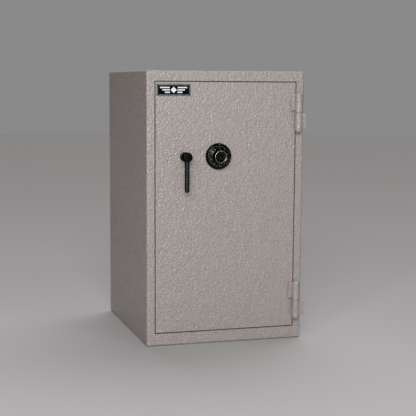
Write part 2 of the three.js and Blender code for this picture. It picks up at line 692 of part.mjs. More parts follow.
const CASE = { left: DIAL_X - 31, right: DIAL_X + 31, bottom: 548, top: 632, wall: 3 };
const CASE_FRONT = PLATE_BACK + FIT;
const CASE_BACK = 68.5;
const POST_RADIUS = 8;
const WHEEL_RADIUS = 21;
const WHEEL_THICKNESS = 2;
const WHEEL_NOTCH = 5;
const WHEELS = {
  wheel_front: { depth: 49.5, angle: 0.7 },
  wheel_middle: { depth: 53.5, angle: 2.8 },
  wheel_rear: { depth: 57.5, angle: 4.9 },
};
const LOCK_BOLT = { front: 53, back: 62.5, bottom: 614 };

function lockCase() {
  const { left, right, bottom, top, wall } = CASE;
  const room = LOCK_BOLT_HALF + FIT;
  return block(left, right, CASE_FRONT, CASE_BACK, bottom, top)
    .subtract(
      block(left + wall, right - wall, CASE_FRONT + wall, CASE_BACK + 1, bottom + wall, top - wall))
    .subtract(block(DIAL_X - room, DIAL_X + room, LOCK_BOLT.front - FIT, LOCK_BOLT.back + FIT,
      top - wall - 1, top + 1))
    .subtract(rodY(DIAL_SPINDLE_RADIUS + 1, 0, CASE_FRONT + wall + 1, DIAL_X, LOCK_LINE));
}

const LOCK_COVER_SHEET = 2.2;

const lockCover = () =>
  block(CASE.left, CASE.right, CASE_BACK + FIT, CASE_BACK + FIT + LOCK_COVER_SHEET, CASE.bottom, CASE.top);

const wheelPost = () =>
  tube(POST_RADIUS, DIAL_SPINDLE_RADIUS + 0.7, CASE_FRONT + CASE.wall + FIT, CAM_DEPTH - 1, DIAL_X);

const lockBolt = () =>
  block(DIAL_X - LOCK_BOLT_HALF, DIAL_X + LOCK_BOLT_HALF, LOCK_BOLT.front, LOCK_BOLT.back,
    LOCK_BOLT.bottom, CASE.top);

const LOCK_LEVER = { bottom: 613.4, top: 618.4, back: 66.5, fenceFront: 48.9 };

// Lever carried by the lock bolt: an arm over the drive cam, and a fence across the wheels' rims.
function lockLever() {
  const { bottom, top, back, fenceFront } = LOCK_LEVER;
  const armPlate = block(DIAL_X - 4, CASE.right - 6, LOCK_BOLT.back + FIT, back, bottom, top);
  const fence = block(CASE.right - 14, CASE.right - 9, fenceFront, LOCK_BOLT.back + 1, bottom, top);
  return armPlate.add(fence);
}

const lock = new THREE.Group();
const lockSlider = new THREE.Group();
door.add(lock);
lock.add(
  lockSlider,
  piece("lock_case", lockCase(), zincSteel),
  piece("lock_cover", lockCover(), zincSteel),
  piece("wheel_post", wheelPost(), brass),
);
lockSlider.add(
  piece("lock_bolt", lockBolt(), brass),
  piece("lock_lever", lockLever(), brass),
);
for (const [name, { depth, angle }] of Object.entries(WHEELS)) {
  const wheel = notchedDisc(WHEEL_RADIUS, POST_RADIUS + FIT, depth, WHEEL_THICKNESS, WHEEL_NOTCH, angle);
  lock.add(piece(name, wheel, brass));
}

export default safe;
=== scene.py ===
import json
import random
from math import atan2, cos, pi, radians, sin

import bmesh
import bpy
from mathutils import Matrix, Vector


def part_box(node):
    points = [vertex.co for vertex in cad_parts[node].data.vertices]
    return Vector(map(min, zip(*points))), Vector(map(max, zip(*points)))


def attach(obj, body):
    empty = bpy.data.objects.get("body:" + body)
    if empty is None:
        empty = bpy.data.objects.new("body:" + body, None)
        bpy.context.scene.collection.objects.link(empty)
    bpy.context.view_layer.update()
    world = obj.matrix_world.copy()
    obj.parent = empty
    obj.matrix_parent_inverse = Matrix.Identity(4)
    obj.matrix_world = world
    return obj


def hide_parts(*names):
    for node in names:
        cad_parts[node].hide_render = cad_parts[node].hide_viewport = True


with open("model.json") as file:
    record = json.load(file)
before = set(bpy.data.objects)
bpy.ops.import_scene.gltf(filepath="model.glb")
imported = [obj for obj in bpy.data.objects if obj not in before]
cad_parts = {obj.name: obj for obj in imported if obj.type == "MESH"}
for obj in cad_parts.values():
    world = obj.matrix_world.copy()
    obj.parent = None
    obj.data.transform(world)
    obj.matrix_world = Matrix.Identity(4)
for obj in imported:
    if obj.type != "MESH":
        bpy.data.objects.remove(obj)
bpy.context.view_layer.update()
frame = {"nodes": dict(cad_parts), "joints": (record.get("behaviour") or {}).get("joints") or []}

scene = bpy.context.scene
scene.view_settings.view_transform = "Standard"


# ---------------------------------------------------------------- camera
# The eye is in front of the safe, to its left and level with its top, and looks
# slightly down. A long lens keeps the cabinet's edges close to parallel.

EYE = Vector((-1.0070, -3.4710, 0.8127))
EYE_TURN, EYE_TILT, EYE_ROLL = radians(16.573), radians(7.904), radians(0.341)

lens = bpy.data.cameras.new("camera")
lens.lens = 93.33
lens.shift_y = 0.0601
camera = bpy.data.objects.new("camera", lens)
scene.collection.objects.link(camera)
camera.matrix_world = (
    Matrix.Translation(EYE)
    @ Matrix.Rotation(-EYE_TURN, 4, "Z")
    @ Matrix.Rotation(pi / 2 - EYE_TILT, 4, "X")
    @ Matrix.Rotation(EYE_ROLL, 4, "Z")
)
scene.camera = camera


# ---------------------------------------------------------------- studio
# A pale floor that fades into the room. A large soft light hangs high over the viewer's left
# shoulder, a low one puts the long highlight on the lever, two small ones lift the side and
# the dial, and an even overhead light fills the floor.

def add_node(tree, kind, settings=None, **inputs):
    made = tree.nodes.new(kind)
    for name, value in (settings or {}).items():
        setattr(made, name, value)
    for name, value in inputs.items():
        socket = made.inputs[name.replace("_", " ")]
        if isinstance(value, bpy.types.NodeSocket):
            tree.links.new(value, socket)
        else:
            socket.default_value = value
    return made


def new_material(name, **sockets):
    material = bpy.data.materials.new(name)
    material.use_nodes = True
    tree = material.node_tree
    shader = tree.nodes["Principled BSDF"]
    for socket, value in sockets.items():
        shader.inputs[socket.replace("_", " ")].default_value = value
    return material, tree, shader


def add_light(name, place, aim, width, height, watts):
    lamp = bpy.data.lights.new(name, "AREA")
    lamp.shape = "RECTANGLE"
    lamp.size, lamp.size_y = width, height
    lamp.energy = watts
    light = bpy.data.objects.new(name, lamp)
    scene.collection.objects.link(light)
    light.location = place
    light.rotation_euler = (Vector(aim) - Vector(place)).to_track_quat("-Z", "Y").to_euler()
    light.visible_camera = False
    return light


MIDDLE = (0, -0.25, 0.45)
SIDE_MIDDLE = (-0.25, 0, 0.45)
LEVER_MIDDLE = (-0.14, -0.3, 0.55)
add_light("key_softbox", (-1.8, -6.2, 3.3), MIDDLE, 3.0, 2.6, 258)
add_light("low_softbox", (-2.0, -6.0, 0.9), LEVER_MIDDLE, 2.6, 0.6, 68)
add_light("left_softbox", (-1.7, -2.4, 2.0), SIDE_MIDDLE, 0.3, 0.6, 14)
add_light("upper_softbox", (1.1, -2.6, 3.2), MIDDLE, 0.9, 0.4, 12)
overhead = bpy.data.lights.new("overhead", "SUN")
overhead.energy = 1.55
overhead.angle = radians(60)
overhead_light = bpy.data.objects.new("overhead", overhead)
scene.collection.objects.link(overhead_light)
overhead_light.rotation_euler = Vector((-1.5, -2.5, -3.5)).to_track_quat("-Z", "Y").to_euler()

scene.world = bpy.data.worlds.new("studio")
scene.world.use_nodes = True
sky = scene.world.node_tree
room_light = sky.nodes["Background"]
room_light.inputs["Color"].default_value = (1.0, 0.89, 0.81, 1)
room_light.inputs["Strength"].default_value = 0.12
seen_room = add_node(sky, "ShaderNodeBackground", Color=(0.255, 0.252, 0.253, 1), Strength=1.0)
what_is_seen = add_node(sky, "ShaderNodeMixShader")
sky.links.new(add_node(sky, "ShaderNodeLightPath").outputs["Is Camera Ray"], what_is_seen.inputs[0])
sky.links.new(room_light.outputs[0], what_is_seen.inputs[1])
sky.links.new(seen_room.outputs[0], what_is_seen.inputs[2])
sky.links.new(what_is_seen.outputs[0], sky.nodes["World Output"].inputs["Surface"])

floor_paper = new_material(
    "floor_paper", Base_Color=(0.46, 0.455, 0.46, 1), Roughness=0.9, Specular_IOR_Level=0.1
)[0]
bm = bmesh.new()
FLOOR_RADIUS = 14
FLOOR_DROP = 0.0005
bmesh.ops.create_circle(bm, cap_ends=True, radius=FLOOR_RADIUS, segments=64)
bmesh.ops.translate(bm, verts=bm.verts, vec=(0, 0, -FLOOR_DROP))
floor_mesh = bpy.data.meshes.new("floor")
bm.to_mesh(floor_mesh)
bm.free()
floor = bpy.data.objects.new("floor", floor_mesh)
scene.collection.objects.link(floor)
floor_mesh.materials.append(floor_paper)


# ---------------------------------------------------------------- hammertone paint
# Sprayed enamel with aluminium flake, which pulls into pebbles a few millimetres
# across as it dries. It is a little worn on its corners and dusty on upward faces.

def new_group(name, inputs, outputs):
    group = bpy.data.node_groups.new(name, "ShaderNodeTree")
    for socket, value in inputs.items():
        made = group.interface.new_socket(socket, in_out="INPUT", socket_type="NodeSocketFloat")
        made.default_value = value
    for socket in outputs:
        group.interface.new_socket(socket, in_out="OUTPUT", socket_type="NodeSocketFloat")
    return group, group.nodes.new("NodeGroupInput"), group.nodes.new("NodeGroupOutput")


def maths(tree, operation, first, second=0.0):
    made = tree.nodes.new("ShaderNodeMath")
    made.operation = operation
    for socket, value in zip(made.inputs, (first, second)):
        if isinstance(value, bpy.types.NodeSocket):
            tree.links.new(value, socket)
        else:
            socket.default_value = value
    return made.outputs[0]


def remap(tree, value, low, high, to_low=0.0, to_high=1.0):
    return add_node(
        tree, "ShaderNodeMapRange", Value=value,
        From_Min=low, From_Max=high, To_Min=to_low, To_Max=to_high,
    ).outputs["Result"]


def mix_colours(tree, factor, first, second):
    made = add_node(tree, "ShaderNodeMix", {"data_type": "RGBA"})
    for index, value in ((0, factor), (6, first), (7, second)):
        if isinstance(value, bpy.types.NodeSocket):
            tree.links.new(value, made.inputs[index])
        else:
            made.inputs[index].default_value = value
    return made.outputs[2]


def place_group(tree, group, **inputs):
    return add_node(tree, "ShaderNodeGroup", {"node_tree": group}, **inputs).outputs


def object_place(tree):
    return add_node(tree, "ShaderNodeTexCoord").outputs["Object"]


def noise(tree, place, scale, detail, roughness=0.5):
    return add_node(
        tree, "ShaderNodeTexNoise", Vector=place, Scale=scale, Detail=detail, Roughness=roughness
    ).outputs["Fac"]


def connect_bump(tree, shader, height, strength, distance):
    bump = add_node(tree, "ShaderNodeBump", Height=height, Strength=strength, Distance=distance)
    tree.links.new(bump.outputs["Normal"], shader.inputs["Normal"])


# Hammered skin: rounded pebbles of uneven size with finer flake between them. The pebbles are
# drawn out from front to back.
PEBBLE_RUN = 0.55
PEBBLE_PUSH = 0.0055
hammered, group_in, group_out = new_group("hammered_skin", {"Pebbles": 140.0}, ("Height", "Flake"))
place = add_node(
    hammered, "ShaderNodeMapping", Vector=object_place(hammered), Scale=(1, PEBBLE_RUN, 1)
).outputs["Vector"]
pebbles = group_in.outputs["Pebbles"]
drift = add_node(
    hammered, "ShaderNodeTexNoise", Vector=place,
    Scale=maths(hammered, "MULTIPLY", pebbles, 0.6), Detail=1.0, Roughness=0.5,
)
push = add_node(hammered, "ShaderNodeVectorMath", {"operation": "SCALE"}, Scale=PEBBLE_PUSH)
hammered.links.new(drift.outputs["Color"], push.inputs[0])
pushed = add_node(hammered, "ShaderNodeVectorMath", {"operation": "ADD"})
hammered.links.new(place, pushed.inputs[0])
hammered.links.new(push.outputs[0], pushed.inputs[1])
cells = add_node(
    hammered, "ShaderNodeTexVoronoi", {"feature": "SMOOTH_F1"},
    Vector=pushed.outputs[0], Scale=pebbles, Smoothness=0.45,
)
swell = noise(hammered, place, maths(hammered, "MULTIPLY", pebbles, 0.45), 1.0)
mound = maths(hammered, "SUBTRACT", 1.0, cells.outputs["Distance"])
rolling = maths(hammered, "MULTIPLY", swell, 0.9)
hammered.links.new(maths(hammered, "ADD", mound, rolling), group_out.inputs["Height"])
speckle = noise(hammered, place, maths(hammered, "MULTIPLY", pebbles, 1.1), 4.0, 0.75)
clouds = noise(hammered, place, maths(hammered, "MULTIPLY", pebbles, 0.25), 2.0, 0.6)
cloudy = maths(hammered, "MULTIPLY", maths(hammered, "SUBTRACT", clouds, 0.5), 0.12)
flake = maths(hammered, "ADD", speckle, cloudy)
hammered.links.new(remap(hammered, flake, 0.34, 0.66), group_out.inputs["Flake"])

# Rubbed edges: a mask on convex corners, broken up so that the wear is uneven.
rubbed, group_in, group_out = new_group(
    "rubbed_edges", {"Start": 0.53, "Reach": 0.06, "Patches": 30.0}, ("Mask",)
)
point = add_node(rubbed, "ShaderNodeNewGeometry").outputs["Pointiness"]
patches = noise(rubbed, object_place(rubbed), group_in.outputs["Patches"], 3.0, 0.7)
past_start = maths(rubbed, "SUBTRACT", point, group_in.outputs["Start"])
corner = maths(rubbed, "DIVIDE", past_start, group_in.outputs["Reach"])
uneven = remap(rubbed, patches, 0.45, 0.62)
edge_mask = add_node(rubbed, "ShaderNodeClamp", Value=maths(rubbed, "MULTIPLY", corner, uneven))
rubbed.links.new(edge_mask.outputs[0], group_out.inputs["Mask"])

# Settled dust: a thin, cloudy film on what faces up.
dusty, group_in, group_out = new_group("settled_dust", {"Amount": 0.3}, ("Mask",))
facing = add_node(dusty, "ShaderNodeSeparateXYZ")
dusty.links.new(add_node(dusty, "ShaderNodeNewGeometry").outputs["Normal"], facing.inputs[0])
clouds = noise(dusty, object_place(dusty), 9.0, 5.0)
upward = add_node(dusty, "ShaderNodeClamp", Value=remap(dusty, facing.outputs["Z"], 0.5, 1.0))
film = maths(dusty, "MULTIPLY", upward.outputs[0], remap(dusty, clouds, 0.3, 0.7, 0.3, 1.0))
dusty.links.new(maths(dusty, "MULTIPLY", film, group_in.outputs["Amount"]), group_out.inputs["Mask"])


def hammertone(name, dark, pale, pebbles_per_metre):
    material, tree, shader = new_material(name, Metallic=0.12, Specular_IOR_Level=0.5)
    skin = place_group(tree, hammered, Pebbles=pebbles_per_metre)
    colour = mix_colours(tree, skin["Flake"], dark, pale)
    worn = place_group(tree, rubbed, Reach=0.12, Patches=22.0)["Mask"]
    colour = mix_colours(tree, maths(tree, "MULTIPLY", worn, 0.3), colour, (0.46, 0.44, 0.42, 1))
    dust = place_group(tree, dusty, Amount=0.25)["Mask"]
    colour = mix_colours(tree, dust, colour, (0.42, 0.40, 0.37, 1))
    tree.links.new(colour, shader.inputs["Base Color"])
    gloss = remap(tree, skin["Flake"], 0.0, 1.0, 0.48, 0.36)
    dulled = maths(tree, "ADD", gloss, maths(tree, "MULTIPLY", dust, 0.6))
    tree.links.new(dulled, shader.inputs["Roughness"])
    connect_bump(tree, shader, skin["Height"], 0.9, 0.0016)
    return material


body_paint = hammertone("hammertone_paint", (0.270, 0.240, 0.228, 1), (0.400, 0.362, 0.350, 1), 180.0)


# ---------------------------------------------------------------- cabinet jacket
# One sheet of 3 mm steel bent round the four sides, with the front frame welded in,
# its joints ground flush, and the whole painted. The long edges are gently rounded.

MM = 0.001


def finish_mesh(name, bm, materials, smooth_below=radians(40)):
    bmesh.ops.remove_doubles(bm, verts=bm.verts, dist=1e-6)
    bmesh.ops.recalc_face_normals(bm, faces=bm.faces)
    mesh = bpy.data.meshes.new(name)
    bm.to_mesh(mesh)
    bm.free()
    for material in materials:
        mesh.materials.append(material)
    mesh.shade_smooth()
    mesh.set_sharp_from_angle(angle=smooth_below)
    piece = bpy.data.objects.new(name, mesh)
    scene.collection.objects.link(piece)
    weighted = piece.modifiers.new("even_normals", "WEIGHTED_NORMAL")
    weighted.keep_sharp = True
    return piece


def fit(piece, body, slot, *stands_for):
    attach(piece, body)
    if stands_for:
        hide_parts(*stands_for)
    return piece


def add_block(bm, low, high):
    low, high = Vector(low), Vector(high)
    place = Matrix.Translation((low + high) / 2) @ Matrix.Diagonal((*(high - low), 1))
    return bmesh.ops.create_cube(bm, size=1, matrix=place)["verts"]


def round_edges(bm, edges, radius, segments, clamp=False):
    bmesh.ops.bevel(bm, geom=edges, offset=radius, offset_type="OFFSET", affect="EDGES",
                    segments=segments, profile=0.5, material=-1, clamp_overlap=clamp)


def ease_edges(bm, radius, segments=3, sharper_than=radians(35), among=None):
    edges = [e for e in (among or bm.edges) if e.is_manifold and e.calc_face_angle(0) > sharper_than]
    round_edges(bm, edges, radius, segments, clamp=True)


def faces_at(bm, axis, value, reach=1e-4):
    return [f for f in bm.faces if all(abs(v.co[axis] - value) < reach for v in f.verts)]


jacket_low, jacket_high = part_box("outer_jacket")
skin_low, skin_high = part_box("door_skin")
FRONT = jacket_low.y
DOOR_GAP = 3 * MM
JACKET_SHEET = 3 * MM
JACKET_ROUND = 6 * MM
SHEET_EDGE = 0.7 * MM

bm = bmesh.new()
add_block(bm, jacket_low, jacket_high)
bmesh.ops.delete(bm, geom=faces_at(bm, 1, jacket_high.y), context="FACES_ONLY")
long_edges = [e for e in bm.edges if e.is_manifold]
round_edges(bm, long_edges, JACKET_ROUND, 6)
front_face = max(faces_at(bm, 1, FRONT), key=lambda f: f.calc_area())
bmesh.ops.inset_region(bm, faces=[front_face], thickness=20 * MM)
for v in front_face.verts:
    v.co.x = (skin_high.x + DOOR_GAP) * (1 if v.co.x > 0 else -1)
    v.co.z = skin_high.z + DOOR_GAP if v.co.z > jacket_high.z / 2 else skin_low.z - DOOR_GAP
bmesh.ops.delete(bm, geom=[front_face], context="FACES")
bmesh.ops.recalc_face_normals(bm, faces=bm.faces)
bmesh.ops.solidify(bm, geom=bm.faces, thickness=JACKET_SHEET)
rim = [e for e in bm.edges if e.is_manifold and e.calc_face_angle(0) > radians(60)]
round_edges(bm, rim, SHEET_EDGE, 2)
fit(finish_mesh("jacket", bm, [body_paint]), "cabinet", "body_paint", "outer_jacket")


# ---------------------------------------------------------------- back cover
# A flat 3 mm steel sheet dropped into the open back once the fill is poured, and held
# by short welds all round. The welds are dressed lightly and painted over.

def add_weld(bm, start, end, radius, dice):
    start, end = Vector(start), Vector(end)
    count = max(2, round((end - start).length / (radius * 0.9)))
    for i in range(count):
        spot = start.lerp(end, (i + 0.5) / count)
        size = radius * dice.uniform(0.85, 1.12)
        place = Matrix.Translation(spot) @ Matrix.Diagonal((size, size * 0.55, size, 1))
        bmesh.ops.create_icosphere(bm, subdivisions=2, radius=1, matrix=place)


back_low, back_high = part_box("back_panel")
bm = bmesh.new()
add_block(bm, back_low, back_high)
ease_edges(bm, 1.2 * MM, segments=2)
fit(finish_mesh("back_cover", bm, [body_paint]), "cabinet", "body_paint", "back_panel")

WELD_HALF = 13 * MM
WELD_RADIUS = 2.6 * MM
bm = bmesh.new()
dice = random.Random(4)
seam_x, seam_y = back_high.x, back_high.y
for share in (0.08, 0.29, 0.5, 0.71, 0.92):
    z = back_low.z + share * (back_high.z - back_low.z)
    for x in (-seam_x, seam_x):
        add_weld(bm, (x, seam_y, z - WELD_HALF), (x, seam_y, z + WELD_HALF), WELD_RADIUS, dice)
for share in (-0.7, 0, 0.7):
    x = share * seam_x
    for z in (back_low.z, back_high.z):
        add_weld(bm, (x - WELD_HALF, seam_y, z), (x + WELD_HALF, seam_y, z), WELD_RADIUS, dice)
fit(finish_mesh("back_welds", bm, [body_paint]), "cabinet", "body_paint")


# ---------------------------------------------------------------- jamb and liner
# The stepped jamb is folded sheet with a bolt pocket behind each bolt, painted with the
# body. The liner behind it is a plain box of thin sheet in a smooth warm grey enamel.

def smooth_enamel(name, colour, dust_amount):
    material, tree, shader = new_material(name, Specular_IOR_Level=0.5)
    place = object_place(tree)
    shade = noise(tree, place, 6.0, 5.0, 0.6)
    peel = noise(tree, place, 420.0, 2.0)
    deeper = tuple(c * 0.86 for c in colour[:3]) + (1,)
    base = mix_colours(tree, remap(tree, shade, 0.3, 0.7), deeper, colour)
    worn = place_group(tree, rubbed, Reach=0.1, Patches=40.0)["Mask"]
    base = mix_colours(tree, maths(tree, "MULTIPLY", worn, 0.6), base, (0.24, 0.23, 0.22, 1))
    dust = place_group(tree, dusty, Amount=dust_amount)["Mask"]
    base = mix_colours(tree, dust, base, (0.44, 0.42, 0.38, 1))
    tree.links.new(base, shader.inputs["Base Color"])
    tree.links.new(remap(tree, shade, 0.3, 0.7, 0.38, 0.52), shader.inputs["Roughness"])
    connect_bump(tree, shader, peel, 0.15, 0.0004)
    return material


def eased_copy(node, radius, segments=2):
    bm = bmesh.new()
    bm.from_mesh(frame["nodes"][node].data)
    bmesh.ops.remove_doubles(bm, verts=bm.verts, dist=1e-5)
    bmesh.ops.dissolve_limit(bm, angle_limit=radians(1), verts=bm.verts, edges=bm.edges)
    ease_edges(bm, radius, segments)
    return bm


liner_paint = smooth_enamel("liner_enamel", (0.47, 0.44, 0.39, 1), 0.35)

fit(finish_mesh("jamb", eased_copy("door_frame", 0.7 * MM), [body_paint]),
    "cabinet", "body_paint", "door_frame")
fit(finish_mesh("liner", eased_copy("inner_liner", 0.6 * MM), [liner_paint]),
    "cabinet", "liner_paint", "inner_liner")


# ---------------------------------------------------------------- fire fill
# Light concrete of vermiculite, gypsum and cement, cast into the cabinet and the door.
# It is hidden in use: pale, open-grained and slightly pitted where it meets the sheet.

fill_concrete, tree, shader = new_material("fill_concrete", Roughness=0.92, Specular_IOR_Level=0.2)
place = object_place(tree)
grit = noise(tree, place, 260.0, 6.0, 0.7)
pits = add_node(tree, "ShaderNodeTexVoronoi", Vector=place, Scale=120.0)
pit_mask = remap(tree, pits.outputs["Distance"], 0.08, 0.3)
tone = maths(tree, "MULTIPLY", grit, pit_mask)
base = mix_colours(tree, tone, (0.34, 0.31, 0.25, 1), (0.66, 0.62, 0.54, 1))
tree.links.new(base, shader.inputs["Base Color"])
connect_bump(tree, shader, tone, 0.6, 0.0012)

for body in ("cabinet", "door"):
    fill = eased_copy(f"{body}_fire_fill", 0.8 * MM)
    fit(finish_mesh(f"{body}_fill", fill, [fill_concrete]), body, "fire_fill", f"{body}_fire_fill")


# ---------------------------------------------------------------- steel, brass and chrome
# Zinc-plated sheet and bar for what carries load, turned and milled brass for the lock,
# and bright chrome on the bolts that show at the door's edge.

def plain_metal(name, dark, pale, rough_low, rough_high, metallic=1.0, bump=0.12):
    material, tree, shader = new_material(name, Metallic=metallic)
    place = object_place(tree)
    cloud = noise(tree, place, 28.0, 4.0, 0.6)
    scratch = noise(tree, place, 900.0, 3.0, 0.7)
    base = mix_colours(tree, remap(tree, cloud, 0.3, 0.7), dark, pale)
    worn = place_group(tree, rubbed, Reach=0.15, Patches=120.0)["Mask"]
    base = mix_colours(tree, maths(tree, "MULTIPLY", worn, 0.5), base, pale)
    tree.links.new(base, shader.inputs["Base Color"])
    streaks = maths(tree, "MULTIPLY", maths(tree, "ADD", cloud, scratch), 0.5)
    tree.links.new(remap(tree, streaks, 0.35, 0.65, rough_low, rough_high), shader.inputs["Roughness"])
    connect_bump(tree, shader, scratch, bump, 0.0002)
    return material


zinc_steel = plain_metal("zinc_steel", (0.34, 0.35, 0.36, 1), (0.52, 0.53, 0.54, 1), 0.3, 0.5)
lock_brass = plain_metal("lock_brass", (0.46, 0.30, 0.10, 1), (0.62, 0.43, 0.17, 1), 0.22, 0.4)
bolt_chrome = plain_metal("bolt_chrome", (0.60, 0.61, 0.63, 1), (0.74, 0.75, 0.77, 1), 0.08, 0.2, bump=0.04)
screw_steel = plain_metal("screw_steel", (0.30, 0.30, 0.31, 1), (0.5, 0.5, 0.51, 1), 0.25, 0.42)


# ---------------------------------------------------------------- shelves and brackets
# Two folded sheet shelves with turned-down lips stand loose on zinc-plated angle
# brackets. Each bracket is held to the liner by three round-headed screws.

def add_screw(bm, place, out, head_radius, head_height, slot=True):
    turn = Vector(out).to_track_quat("Z", "Y").to_matrix().to_4x4()
    seat = Matrix.Translation(Vector(place)) @ turn
    dome = seat @ Matrix.Diagonal((head_radius, head_radius, head_height, 1))
    head = bmesh.ops.create_uvsphere(bm, u_segments=20, v_segments=12, radius=1, matrix=dome)["verts"]
    normal = turn.to_3x3() @ Vector((0, 0, 1))
    inside = [v for v in head if (v.co - Vector(place)).dot(normal) < -1e-7]
    bmesh.ops.delete(bm, geom=inside, context="VERTS")
    rim_edges = [e for e in bm.edges if e.is_boundary]
    bmesh.ops.holes_fill(bm, edges=rim_edges, sides=0)
    if slot:
        for axis in (0, 1):
            width = [head_radius * 0.16] * 2
            width[axis] = head_radius * 0.62
            bar = Matrix.Diagonal((width[0] * 2, width[1] * 2, head_height * 0.5, 1))
            bar_seat = seat @ Matrix.Translation((0, 0, head_height * 0.86))
            bmesh.ops.create_cube(bm, size=1, matrix=bar_seat @ bar)


BRACKET_SHEET = 1.5 * MM
BRACKET_SCREW_RISE = 8 * MM
for level in ("lower_shelf", "upper_shelf"):
    tray = eased_copy(level, 0.5 * MM)
    fit(finish_mesh(f"{level}_tray", tray, [liner_paint]), "cabinet", "liner_paint", level)
    for side in ("left", "right"):
        node = f"{level}_bracket_{side}"
        angle = eased_copy(node, 0.4 * MM)
        fit(finish_mesh(f"{node}_angle", angle, [zinc_steel]), "cabinet", "zinc_steel", node)
        angle_low, angle_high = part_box(node)
        inward = 1 if side == "left" else -1
        screw_x = (angle_low.x if side == "left" else angle_high.x) + inward * BRACKET_SHEET
        screw_z = angle_low.z + BRACKET_SCREW_RISE
        bm = bmesh.new()
        for share in (0.08, 0.5, 0.92):
            screw_y = angle_low.y + share * (angle_high.y - angle_low.y)
            add_screw(bm, (screw_x, screw_y, screw_z), (inward, 0, 0), 3.4 * MM, 1.8 * MM)
        fit(finish_mesh(f"{node}_screws", bm, [screw_steel]), "cabinet", "zinc_steel")


# ---------------------------------------------------------------- anchor hole
# A steel sleeve through the floor's fill, closed from inside by a black plastic plug
# with a domed flange.

def turned(profile, centre, axis, steps=64):
    """A turned shape. Its profile's points are (radius, distance along the axis), in millimetres."""
    axis = Vector(axis)
    across = Vector((1, 0, 0)) if abs(axis.x) < 0.5 else Vector((0, 0, 1))
    bm = bmesh.new()
    spots = [bm.verts.new(Vector(centre) + across * r * MM + axis * h * MM) for r, h in profile]
    edges = [bm.edges.new(pair) for pair in zip(spots, spots[1:])]
    bmesh.ops.spin(bm, geom=spots + edges, cent=centre, axis=axis, angle=2 * pi, steps=steps,
                   use_merge=True)
    bmesh.ops.remove_doubles(bm, verts=bm.verts, dist=1e-6)
    bmesh.ops.recalc_face_normals(bm, faces=bm.faces)
    return bm


cap_plastic, tree, shader = new_material("plug_plastic", Specular_IOR_Level=0.45)
grain = noise(tree, object_place(tree), 1400.0, 2.0)
dust = place_group(tree, dusty, Amount=0.4)["Mask"]
base = mix_colours(tree, dust, (0.02, 0.02, 0.021, 1), (0.2, 0.19, 0.17, 1))
tree.links.new(base, shader.inputs["Base Color"])
tree.links.new(remap(tree, grain, 0.3, 0.7, 0.45, 0.6), shader.inputs["Roughness"])
connect_bump(tree, shader, grain, 0.2, 0.0001)

plug_low, plug_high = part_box("anchor_hole_plug")
plug_middle = (plug_low + plug_high) / 2
LINER_SHEET = 1.5 * MM
liner_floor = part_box("inner_liner")[0].z + LINER_SHEET
PLUG_SHANK = [(0, -13.5), (6.4, -13.5), (7.6, -11.8), (7.6, 0.3)]
PLUG_FLANGE = [(12.9, 0.3), (12.9, 1), (11.6, 1.8), (7, 2.5), (0, 2.7)]
bm = turned(PLUG_SHANK + PLUG_FLANGE, (plug_middle.x, plug_middle.y, liner_floor), (0, 0, 1), steps=48)
fit(finish_mesh("anchor_plug", bm, [cap_plastic]), "cabinet", "cap_plastic", "anchor_hole_plug")
fit(finish_mesh("anchor_tube", eased_copy("anchor_sleeve", 0.4 * MM), [zinc_steel]),
    "cabinet", "zinc_steel", "anchor_sleeve")


# ---------------------------------------------------------------- door skin
# A shallow folded tray, 3 mm thick, that sits flush in the front frame with a 3 mm gap
# all round. Its folded edges are slightly round and wear first.

FOLD_RADIUS = 1.6 * MM
bm = bmesh.new()
add_block(bm, skin_low, skin_high)
bmesh.ops.delete(bm, geom=faces_at(bm, 1, skin_high.y), context="FACES_ONLY")
folds = [e for e in bm.edges if e.is_manifold]
round_edges(bm, folds, FOLD_RADIUS, 4)
bmesh.ops.recalc_face_normals(bm, faces=bm.faces)
bmesh.ops.solidify(bm, geom=bm.faces, thickness=JACKET_SHEET)
fit(finish_mesh("door_face", bm, [body_paint]), "door", "body_paint", "door_skin")


# ---------------------------------------------------------------- door pan, seal and inner cover
# The stepped pressing behind the skin is painted like the body. A black strip that swells
# in a fire lies round its flange, and a screwed enamel cover closes the boltwork.

steps = eased_copy("door_pan", 1.0 * MM, 3)
fit(finish_mesh("door_steps", steps, [body_paint]), "door", "body_paint", "door_pan")

seal_rubber, tree, shader = new_material("seal_strip", Roughness=0.85, Specular_IOR_Level=0.3)
mottle = noise(tree, object_place(tree), 700.0, 4.0)
base = mix_colours(tree, mottle, (0.018, 0.017, 0.016, 1), (0.07, 0.066, 0.062, 1))
tree.links.new(base, shader.inputs["Base Color"])
connect_bump(tree, shader, mottle, 0.4, 0.0003)
strip = eased_copy("door_seal", 0.9 * MM, 3)
fit(finish_mesh("fire_seal", strip, [seal_rubber]), "door", "seal_strip", "door_seal")

cover_low, cover_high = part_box("door_inner_cover")
PRESSED_MARGIN = 34 * MM
PRESSED_SLOPE = 5 * MM
PRESSED_RISE = 2.2 * MM
COVER_SCREW_INSET = 14 * MM
bm = bmesh.new()
add_block(bm, cover_low, cover_high)
ease_edges(bm, SHEET_EDGE, segments=2)
outer = max(faces_at(bm, 1, cover_high.y), key=lambda f: f.calc_area())
bmesh.ops.inset_region(bm, faces=[outer], thickness=PRESSED_MARGIN)
bmesh.ops.inset_region(bm, faces=[outer], thickness=PRESSED_SLOPE)
bmesh.ops.translate(bm, verts=outer.verts, vec=(0, PRESSED_RISE, 0))
fit(finish_mesh("cover_plate", bm, [liner_paint]), "door", "liner_paint", "door_inner_cover")

